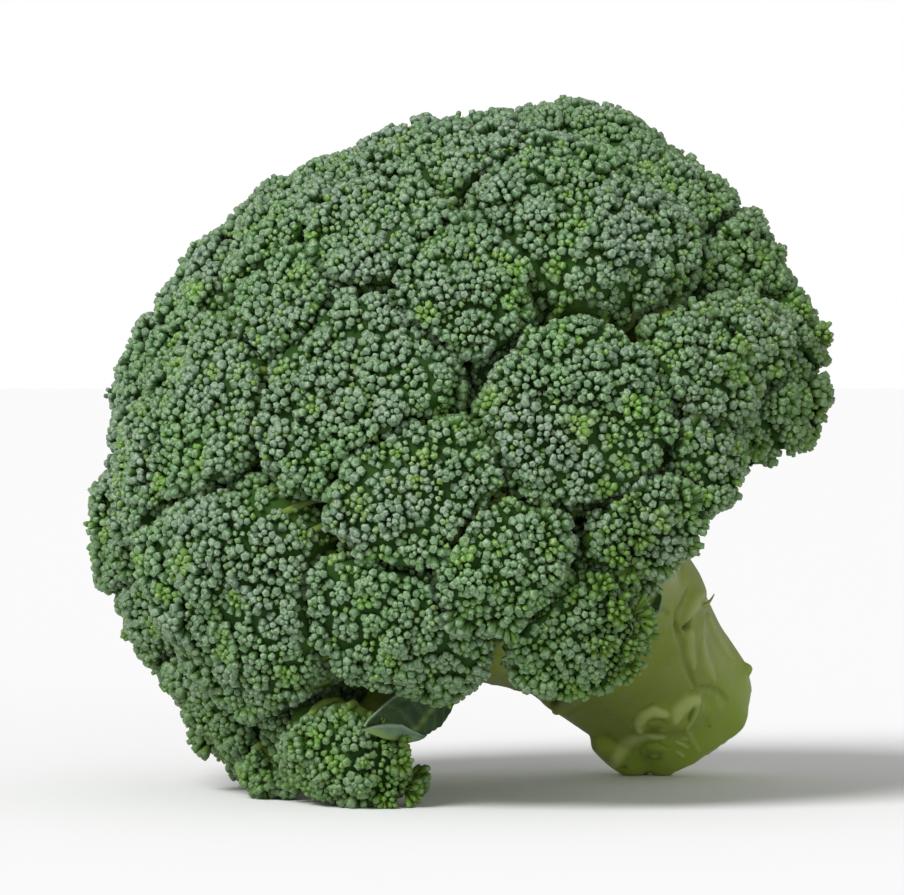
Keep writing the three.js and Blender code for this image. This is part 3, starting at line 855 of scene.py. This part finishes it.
def make_floret(form, crowd, materials):
    normals = normals_of(form["surface"], FINE_TRIANGLES)
    lean = lean_from(form, form["surface"])
    rooms = [room(crowd, form, p, n, ROOM_REACH)[0] for p, n in zip(form["surface"], normals)]
    has_room = np.array(rooms) > BUD_ROOM
    open_spots = has_room & (lean < DOME_ANGLE)
    open_share = smoothed(has_room.astype(float), FINE_TRIANGLES, 2)
    parts, kinds = [core_shape(form, normals, open_share)], [1]
    chosen = umbel_middles(form, open_spots) if open_spots.any() else []
    if chosen:
        middles, outward = form["surface"][chosen], normals[chosen]
        finder, taken, buds = finder_of(middles), {}, []
        for number, (middle, normal) in enumerate(zip(middles, outward)):
            buds += grow_umbel(form, crowd, finder, taken, number, middle, normal)
        packed = [bud for bud in buds if bud[-1] == 0]
        loose = [bud for bud in buds if bud[-1] > 0]
        low = fill_gaps(form, normals, taken, np.flatnonzero(open_spots))
        groups = ((packed, BUD_SIDES, False), (loose, BUD_SIDES, True), (low, FILL_SIDES, False))
        for group, sides, necks in groups:
            if group:
                parts.append(bud_shapes(np.array(group), sides, necks))
                kinds.append(0)
        ribs = rib_shapes(form, middles)
        if ribs:
            parts.append(ribs)
            kinds.append(1)
    material_of = np.repeat(kinds, [sum(len(group) for group in part[1]) for part in parts])
    piece = make_piece(f"buds_{form['name'][-2:]}", parts, materials, material_of)
    stand_for(piece, form["name"])


# Materials

def new_material(name, roughness, specular):
    material = bpy.data.materials.new(name)
    material.use_nodes = True
    shader = material.node_tree.nodes["Principled BSDF"]
    shader.inputs["Roughness"].default_value = roughness
    shader.inputs["Specular IOR Level"].default_value = specular
    return material, shader


def link(material, source, target):
    material.node_tree.links.new(source, target)


def add(material, kind, sockets=None, **properties):
    """A node with its properties and its plain socket values set."""
    node = material.node_tree.nodes.new(kind)
    for key, value in properties.items():
        setattr(node, key, value)
    for key, value in (sockets or {}).items():
        if isinstance(value, bpy.types.NodeSocket):
            link(material, value, node.inputs[key])
        else:
            node.inputs[key].default_value = value
    return node


def tint_channels(material):
    """The red, green, blue and alpha of the tint that the pieces carry."""
    tint = add(material, "ShaderNodeAttribute", attribute_name="tint")
    split = add(material, "ShaderNodeSeparateColor", {"Color": tint.outputs["Color"]})
    return [*split.outputs, tint.outputs["Alpha"]]


def mixed(material, share, first, second, blend="MIX"):
    """A colour between two, each a socket or a plain colour."""
    sockets = {0: share, 6: first, 7: second}
    node = add(material, "ShaderNodeMix", sockets, data_type="RGBA", blend_type=blend)
    return node.outputs[2]


def ranged(material, value, low, high, to_low=0.0, to_high=1.0):
    sockets = {"Value": value, "From Min": low, "From Max": high, "To Min": to_low, "To Max": to_high}
    return add(material, "ShaderNodeMapRange", sockets).outputs["Result"]


def roughened(material, shader, patches, depth, strength=0.6):
    """A fine bump all over a material."""
    place = add(material, "ShaderNodeTexCoord").outputs["Object"]
    cloud = add(material, "ShaderNodeTexNoise", {"Vector": place, "Scale": patches, "Detail": 3})
    bump = add(material, "ShaderNodeBump", {
        "Height": cloud.outputs["Fac"], "Distance": depth, "Strength": strength})
    link(material, bump.outputs["Normal"], shader.inputs["Normal"])


def mottle_group():
    """Soft blotches, as a mask from 0 to 1, at a given number of patches to the metre."""
    group = bpy.data.node_groups.new("mottle", "ShaderNodeTree")
    group.interface.new_socket("Patches", in_out="INPUT", socket_type="NodeSocketFloat")
    group.interface.new_socket("Mask", in_out="OUTPUT", socket_type="NodeSocketFloat")
    nodes = group.nodes
    start = nodes.new("NodeGroupInput")
    end = nodes.new("NodeGroupOutput")
    place = nodes.new("ShaderNodeTexCoord")
    cloud = nodes.new("ShaderNodeTexNoise")
    cloud.inputs["Detail"].default_value = 4
    spread = nodes.new("ShaderNodeMapRange")
    spread.inputs["From Min"].default_value = 0.35
    spread.inputs["From Max"].default_value = 0.65
    group.links.new(place.outputs["Object"], cloud.inputs["Vector"])
    group.links.new(start.outputs["Patches"], cloud.inputs["Scale"])
    group.links.new(cloud.outputs["Fac"], spread.inputs["Value"])
    group.links.new(spread.outputs["Result"], end.inputs["Mask"])
    return group


MOTTLE = mottle_group()


def mottle(material, patches):
    return add(material, "ShaderNodeGroup", {"Patches": patches}, node_tree=MOTTLE).outputs["Mask"]


def bud_material():
    """Closed buds: yellow-green when young, blue-green with a pale waxy rim when ripe, partly a
    painted highlight on the sepals' edges; darker towards their bases, partly their deeper green and
    partly painted shade between them.
    """
    material, shader = new_material("flower buds", 0.5, 0.35)
    height, ripe, luck, rim = tint_channels(material)
    young = mixed(material, luck, (0.095, 0.21, 0.02, 1), (0.065, 0.16, 0.02, 1))
    grown = mixed(material, luck, (0.04, 0.1, 0.036, 1), (0.066, 0.14, 0.072, 1))
    skin = mixed(material, ripe, young, grown)
    # Below their tips the buds turn to the stem colour. On top of the florets this is a dark green
    # that is partly the buds' deeper green and partly painted shade in the gaps between them; at the
    # rims it is the real pale stems.
    stem = mixed(material, rim, (0.03, 0.08, 0.013, 1), (0.2, 0.32, 0.035, 1))
    colour = mixed(material, ranged(material, height, 0.1, 0.85), stem, skin)
    bloom = mixed(material, luck, (0.135, 0.225, 0.125, 1), (0.22, 0.315, 0.215, 1))
    fresh = mixed(material, ripe, (0.155, 0.285, 0.045, 1), bloom)
    colour = mixed(material, ranged(material, height, 0.6, 1.0, 0, 0.8), colour, fresh)
    place = add(material, "ShaderNodeTexCoord").outputs["Object"]
    # Pale lines on the buds' tops: partly the sepals' pale edges and partly a painted highlight along
    # them.
    seams = add(material, "ShaderNodeTexVoronoi", {"Vector": place, "Scale": 520},
                feature="DISTANCE_TO_EDGE")
    seam_and_highlight = ranged(material, seams.outputs["Distance"], 0.03, 0.1, 1, 0)
    top = ranged(material, height, 0.55, 0.8, 0, 0.45)
    edge = add(material, "ShaderNodeMath", {0: seam_and_highlight, 1: top}, operation="MULTIPLY").outputs[0]
    colour = mixed(material, edge, colour, (0.42, 0.52, 0.36, 1))
    patches = mixed(material, mottle(material, 50), (0.93, 1.07, 0.78, 1), (1.13, 1.06, 1.16, 1))
    colour = mixed(material, 1.0, colour, patches, "MULTIPLY")
    greener = mixed(material, ranged(material, rim, 0, 1, 0, 0.6), colour, (0.07, 0.15, 0.013, 1))
    link(material, greener, shader.inputs["Base Color"])
    roughened(material, shader, 1300, 0.0003)
    return material


def core_material():
    """The stems between the buds: dark green above, which is painted shade where they lie in the gaps
    between the buds, and pale yellow-green below.
    """
    material, shader = new_material("floret stems", 0.85, 0.1)
    under, rim, _, _ = tint_channels(material)
    # Painted shade: the stems' tops, seen only through the gaps between buds, are coloured dark as
    # shade would make them.
    deep_green_and_shade = mixed(material, rim, (0.022, 0.06, 0.011, 1), (0.045, 0.105, 0.014, 1))
    pale = mixed(material, mottle(material, 260), (0.14, 0.23, 0.035, 1), (0.24, 0.34, 0.08, 1))
    colour = mixed(material, under, deep_green_and_shade, pale)
    link(material, colour, shader.inputs["Base Color"])
    roughened(material, shader, 900, 0.0004)
    return material


def stalk_material():
    """Waxy green skin, limier towards the cut, and the paler pith of the cut itself."""
    material, shader = new_material("stalk skin", 0.45, 0.3)
    pale, dark, low, cut = tint_channels(material)
    colour = mixed(material, mottle(material, 45), (0.186, 0.24, 0.032, 1), (0.235, 0.284, 0.047, 1))
    colour = mixed(material, ranged(material, low, 0, 0.8, 0, 0.85), colour, (0.25, 0.35, 0.03, 1))
    speck = ranged(material, mottle(material, 420), 0.55, 1.0, 0, 0.3)
    colour = mixed(material, speck, colour, (0.22, 0.28, 0.11, 1))
    # The marks' pale tint is a painted highlight on the ridges, and their dark tint is painted shade
    # in the grooves, moats, slots, dents and pits.
    colour = mixed(material, ranged(material, pale, 0, 1, 0, 0.9), colour, (0.4, 0.48, 0.15, 1))
    colour = mixed(material, dark, colour, (0.04, 0.085, 0.01, 1))
    pith = mixed(material, mottle(material, 160), (0.4, 0.46, 0.2, 1), (0.52, 0.57, 0.32, 1))
    ringed = mixed(material, ranged(material, cut, 0.84, 0.92), pith, (0.22, 0.3, 0.07, 1))
    colour = mixed(material, ranged(material, cut, 0.02, 0.06), colour, ringed)
    link(material, colour, shader.inputs["Base Color"])
    roughened(material, shader, 500, 0.0004, 0.35)
    return material


def leaf_material():
    """A dark upper side with pale veins, and a waxy blue-green lower side where it folds."""
    material, shader = new_material("leaf", 0.6, 0.25)
    vein, fold, edge, _ = tint_channels(material)
    inner = mixed(material, mottle(material, 200), (0.012, 0.038, 0.009, 1), (0.03, 0.078, 0.018, 1))
    outer = mixed(material, mottle(material, 300), (0.11, 0.19, 0.12, 1), (0.17, 0.26, 0.18, 1))
    colour = mixed(material, fold, inner, outer)
    colour = mixed(material, ranged(material, vein, 0, 1, 0, 0.8), colour, (0.2, 0.32, 0.07, 1))
    colour = mixed(material, ranged(material, edge, 0, 1, 0, 0.5), colour, (0.3, 0.4, 0.26, 1))
    link(material, colour, shader.inputs["Base Color"])
    roughened(material, shader, 1100, 0.0003)
    return material


# The stalk

def fine_stalk():
    """The CAD stalk with its facets melted together, finest where the trunk shows."""
    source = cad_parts["stalk"]
    work = bpy.data.objects.new("stem_work", source.data.copy())
    bpy.context.scene.collection.objects.link(work)
    remesh = work.modifiers.new("even", "REMESH")
    remesh.mode = "VOXEL"
    remesh.voxel_size = STALK_GRAIN
    smooth = work.modifiers.new("soft", "SMOOTH")
    smooth.factor = 0.5
    smooth.iterations = STALK_SOFTNESS
    evaluated = work.evaluated_get(bpy.context.evaluated_depsgraph_get())
    made = bmesh.new()
    made.from_mesh(evaluated.to_mesh())
    bpy.data.objects.remove(work)
    made.verts.ensure_lookup_table()
    upright = to_upright(np.array([vert.co for vert in made.verts]))
    turn, far = np.arctan2(upright[:, 1], upright[:, 0]), np.hypot(upright[:, 0], upright[:, 1])
    marked = (turn > MARKED_TURNS[0]) & (turn < MARKED_TURNS[1]) & (upright[:, 2] < MARKED_HEIGHT)
    marked &= (far > MARKED_RADII[0]) & (far < MARKED_RADII[1])
    edges = [edge for edge in made.edges if all(marked[vert.index] for vert in edge.verts)]
    bmesh.ops.subdivide_edges(made, edges=edges, cuts=MARKED_CUTS, use_grid_fill=True)
    bmesh.ops.triangulate(made, faces=made.faces)
    made.verts.ensure_lookup_table()
    points = np.array([vert.co for vert in made.verts])
    triangles = np.array([[vert.index for vert in face.verts] for face in made.faces])
    made.free()
    return points, triangles


def line_reach(places, line, half_width):
    """How far each place on the trunk's skin is from a line, in widths that narrow to its ends."""
    spots = [np.array([radians(turn) * TRUNK_RADIUS, height * MM]) for turn, height in line]
    spans = list(zip(spots, spots[1:] or spots))
    lengths = [np.linalg.norm(end - start) for start, end in spans]
    total = max(sum(lengths), 1e-9)  # a spot has no length
    best, gone = np.full(len(places), np.inf), 0
    for (start, end), length in zip(spans, lengths):
        share = np.clip(((places - start) @ (end - start)) / max(length**2, 1e-12), 0, 1)
        near = np.linalg.norm(places - start - share[:, None] * (end - start), axis=1)
        along = (gone + share * length) / total
        width = half_width * (MARK_END + (1 - MARK_END) * np.sin(pi * along) ** MARK_TAPER)
        width = width if total > 1e-6 else half_width
        best = np.minimum(best, near / width)
        gone += length
    return best


def carve_trunk(points, triangles):
    """The trunk's grooves, ridges and scars, as a shift and a tint of each point. The tint's
    darkening in the hollows is painted shade, and its paleness on the ridges is a painted highlight.
    """
    upright = to_upright(points)
    turn, height = np.arctan2(upright[:, 1], upright[:, 0]), upright[:, 2]
    far = np.hypot(upright[:, 0], upright[:, 1])
    on_trunk = np.clip((TRUNK_TOP - height) / TRUNK_FADE, 0, 1) * (far < TRUNK_WIDEST)
    on_side = on_trunk * np.clip(far / MARK_INSIDE - 0.5, 0, 1)
    places = np.stack([turn * TRUNK_RADIUS, height], axis=1)
    rise, tint = np.zeros(len(points)), np.zeros(len(points))
    for line, half_width, lift, shade in MARKS.values():
        near = np.exp(-(line_reach(places, line, half_width * MM) ** MARK_CRISP))
        rise += lift * MM * near
        tint += shade * near
    rim = np.clip(1 - height / RIM_DEPTH, 0, 1) ** RIM_FADE
    for waves, lift, start in RIM_WAVES:
        rise += rim * lift * MM * np.sin(waves * turn + start)
    normals = normals_of(points, triangles)
    axis = HEAD_TURN @ np.array([0, 0, 1.0])
    cut = (normals @ axis < CUT_FACING) & (height < CUT_LEVEL)
    points = points + normals * (rise * on_side * ~cut)[:, None]
    bulge = np.exp(-(((turn - CUT_TURN) / CUT_SPREAD) ** 2)) * np.clip(far / CUT_RADIUS, 0, 1) ** 2
    bulge *= np.clip(1 - height / CUT_REACH, 0, 1) * on_trunk
    points -= axis * (CUT_BULGE * bulge)[:, None]
    tint *= on_side
    low = np.clip(1 - height / LIME_HEIGHT, 0, 1) * on_trunk
    # Red is the paler tint, a painted highlight on the ridges; green is the darker one, painted shade
    # in the hollows; blue is how limy the skin is; alpha marks the cut face.
    tints = np.stack([
        np.clip(-tint, 0, 1),
        np.clip(tint, 0, 1),
        low,
        cut * (PITH_LEAST + (1 - PITH_LEAST) * np.clip(far / PITH_RADIUS, 0, 1)),
    ], axis=1)
    return points, tints


def sprout_shape():
    """The small hook of a sprout on the trunk's side."""
    side = [SPROUT_DISTANCE * cos(SPROUT_TURN), SPROUT_DISTANCE * sin(SPROUT_TURN), SPROUT_HEIGHT]
    share = np.linspace(0, 1, SPROUT_STEPS)
    route = to_lying(side) + np.stack([
        SPROUT_OUT * share - SPROUT_SUNK,
        -SPROUT_FORWARD * share,
        SPROUT_UP * share**SPROUT_HOOK - SPROUT_DIP * share,
    ], axis=1)
    points = tube_rings(route, SPROUT_RADIUS * (1 - SPROUT_TAPER * share))
    return points, [ring_faces(RIB_SIDES, SPROUT_STEPS)], np.ones((len(points), 4)) * SPROUT_TINT


def make_stalk():
    points, triangles = fine_stalk()
    points, tints = carve_trunk(points, triangles)
    parts = [(points, [triangles], tints), sprout_shape()]
    piece = make_piece("stem", parts, [stalk_material()])
    stand_for(piece, "stalk")


# The leaves

def leaf_outline(leaf, share):
    """A leaf's lower and upper half widths and its flap's width at a share of its length."""
    lower, upper, flap = (
        np.interp(share, *zip(*leaf[key])) for key in ("lower", "upper", "flap")
    )
    tooth = abs((share * leaf["teeth"]) % 1 - TOOTH_SLANT) * TOOTH_DEPTH * (flap == 0)
    return max(lower - tooth, LEAF_LEAST), upper, flap


def leaf_section(leaf, share):
    """Points across a leaf, from its upper edge down to its lower one and up its flap: how far
    down and how far out each is, and how far across the blade."""
    lower, upper, flap = leaf_outline(leaf, share)
    columns = np.linspace(-1, 1, LEAF_COLUMNS)
    down = columns * np.where(columns > 0, lower, upper)
    out = -LEAF_CUP * (1 - columns**2) * min(1, lower / LEAF_NARROW)
    angles = np.linspace(0, pi, BEND_COLUMNS + 1)[1:]
    rise = np.linspace(0, 1, FLAP_COLUMNS + 1)[1:]
    radius = LEAF_BEND * min(1, flap)
    curl = 2 * radius + FLAP_CURL * flap * rise**2
    down = np.concatenate([down, lower + radius * np.sin(angles), lower - flap * rise])
    out = np.concatenate([out, radius * (1 - np.cos(angles)), curl])
    across = np.concatenate([columns, np.ones(BEND_COLUMNS), 1 - FLAP_ACROSS * rise])
    return down, out, across


def leaf_ways(leaf):
    """The way along a leaf, the way that its lower edge faces, and the way out of its blade."""
    along = np.array(leaf["tip"], float) - np.array(leaf["base"], float)
    down = HEAD_TURN.T @ np.array(leaf["edge"], float)
    down -= along * (down @ along) / (along @ along)
    down /= np.linalg.norm(down)
    out = np.cross(along, down)
    out /= np.linalg.norm(out)
    return along, down, out


def make_leaf(name, material):
    """A thin leaf with a rib and veins, which shows its dark upper side and a paler flap."""
    leaf = LEAVES[name]
    base = np.array(leaf["base"], float)
    along, down_way, out_way = leaf_ways(leaf)
    thick = LEAF_THICKNESS / 2
    rings, tints = [], []
    for step in range(LEAF_STEPS + 1):
        share = step / LEAF_STEPS
        down, out, across = leaf_section(leaf, share)
        rib_at = min(1, leaf["rib"] * share)
        rib = np.exp(-(((across - rib_at) * down.max() / LEAF_RIB) ** 2))
        swing = (share * LEAF_VEINS - VEIN_SLANT * np.abs(across - rib_at)) % 1
        vein = np.exp(-(((swing - 0.5) / VEIN_WIDTH) ** 2)) * VEIN_STRENGTH
        wave = LEAF_WAVE * sin(share * LEAF_WAVES) * (across < 0)
        out = out - RIB_GROOVE * rib - VEIN_GROOVE * vein + wave
        slope = np.stack([np.gradient(down), np.gradient(out)], axis=1)
        slope /= np.maximum(np.linalg.norm(slope, axis=1), 1e-9)[:, None]
        edge = np.zeros(len(down))
        edge[[0, 1, -2, -1]] = 1
        for side in (1, -1):
            ring_down = (down - side * thick * slope[:, 1])[:, None] * down_way
            ring_out = (out + side * thick * slope[:, 0])[:, None] * out_way
            ring = base + along * share + ring_down + ring_out
            tint = np.stack([
                np.maximum(rib, vein * VEIN_PALENESS),
                np.full(len(down), 0.0 if side > 0 else 1.0),
                edge,
                np.ones(len(down)),
            ], axis=1)
            rings.append(ring[::side])
            tints.append(tint[::side])
    points = to_lying(np.concatenate(rings) * MM)
    faces = ring_faces(2 * len(down), LEAF_STEPS + 1)
    piece = make_piece(f"{name}_blade", [(points, [faces], np.concatenate(tints))], [material])
    stand_for(piece, name)


# Camera, floor and light

def make_camera():
    aim = Vector(CUT_END) + CAMERA_AIM
    data = bpy.data.cameras.new("camera")
    data.sensor_width = IMAGE_SENSOR
    data.lens = IMAGE_SENSOR * CAMERA_REACH / FRAME_WIDTH
    camera = bpy.data.objects.new("camera", data)
    camera.location = aim + CAMERA_REACH * Vector((0, -cos(CAMERA_RISE), sin(CAMERA_RISE)))
    camera.rotation_euler = (pi / 2 - CAMERA_RISE, 0, 0)
    bpy.context.scene.collection.objects.link(camera)
    bpy.context.scene.camera = camera


def make_floor():
    half = FLOOR_HALF
    corners = [(-half, -half, 0), (half, -half, 0), (half, half, 0), (-half, half, 0)]
    mesh = bpy.data.meshes.new("floor")
    mesh.from_pydata(corners, [], [(0, 1, 2, 3)])
    material, shader = new_material("pale floor", 0.9, 0.1)
    shader.inputs["Base Color"].default_value = (FLOOR_WHITE, FLOOR_WHITE, FLOOR_WHITE, 1)
    mesh.materials.append(material)
    floor = bpy.data.objects.new("floor", mesh)
    bpy.context.scene.collection.objects.link(floor)


def make_light(name, way, spread, strength):
    """A far light, which comes from a direction and is as wide as its spread."""
    data = bpy.data.lights.new(name, "SUN")
    data.angle = spread
    data.energy = strength
    light = bpy.data.objects.new(name, data)
    light.rotation_euler = (-Vector(way)).to_track_quat("-Z", "Y").to_euler()
    bpy.context.scene.collection.objects.link(light)


def make_room():
    """A white room, which the camera sees brighter than it lights the head."""
    world = bpy.data.worlds.new("room")
    world.use_nodes = True
    tree = world.node_tree
    lit = tree.nodes["Background"]
    lit.inputs["Color"].default_value = (1, 1, 1, 1)
    lit.inputs["Strength"].default_value = ROOM_LIGHT
    seen = tree.nodes.new("ShaderNodeBackground")
    seen.inputs["Color"].default_value = (1, 1, 1, 1)
    path = tree.nodes.new("ShaderNodeLightPath")
    choice = tree.nodes.new("ShaderNodeMixShader")
    tree.links.new(path.outputs["Is Camera Ray"], choice.inputs[0])
    tree.links.new(lit.outputs[0], choice.inputs[1])
    tree.links.new(seen.outputs[0], choice.inputs[2])
    tree.links.new(choice.outputs[0], tree.nodes["World Output"].inputs["Surface"])
    bpy.context.scene.world = world
    bpy.context.scene.view_settings.view_transform = "Standard"


make_camera()
make_floor()
for light_name, (way, spread, strength) in LIGHTS.items():
    make_light(light_name, way, spread, strength)
make_room()
forms, crowd = make_crown()
floret_materials = [bud_material(), core_material()]
for form in forms:
    make_floret(form, crowd, floret_materials)
make_stalk()
leaf_finish = leaf_material()
for leaf_name in LEAVES:
    make_leaf(leaf_name, leaf_finish)
